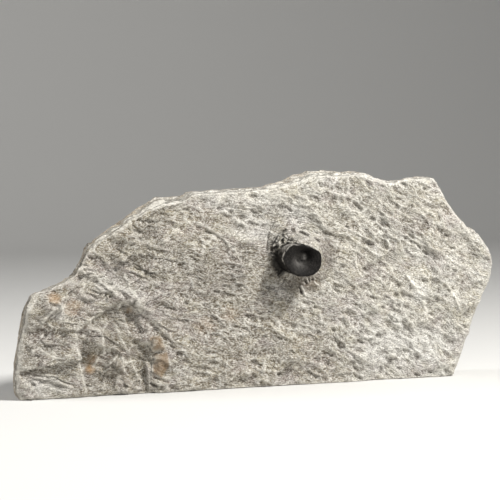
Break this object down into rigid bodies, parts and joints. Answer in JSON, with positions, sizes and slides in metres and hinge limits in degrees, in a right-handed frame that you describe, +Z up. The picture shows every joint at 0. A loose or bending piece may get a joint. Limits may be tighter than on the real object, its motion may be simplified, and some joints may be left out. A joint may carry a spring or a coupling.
{
  "type": "fossil plesiosaur vertebra in matrix",
  "caption": "Small black fossil vertebra centrum with a dished open face, standing out of a loose upright slab of grey limestone on a flat sawn base.",
  "frame": {"origin": "middle of the bounding box's bottom, on the plane of the sawn base", "axes": "+X along the slab to the right as seen from the front, +Z up, and -Y out of the prepared front, the way the bone points"},
  "size_m": [0.31, 0.047, 0.125],
  "materials": {
    "limestone": "matt, chiselled and split grey-beige limestone with brown iron and shell stains",
    "black_bone": "satin black mineralised bone with a thin film of stone dust on its rim"
  },
  "bodies": {
    "root": {"matrix_slab": "limestone", "vertebra": "black_bone"}
  },
  "joints": []
}
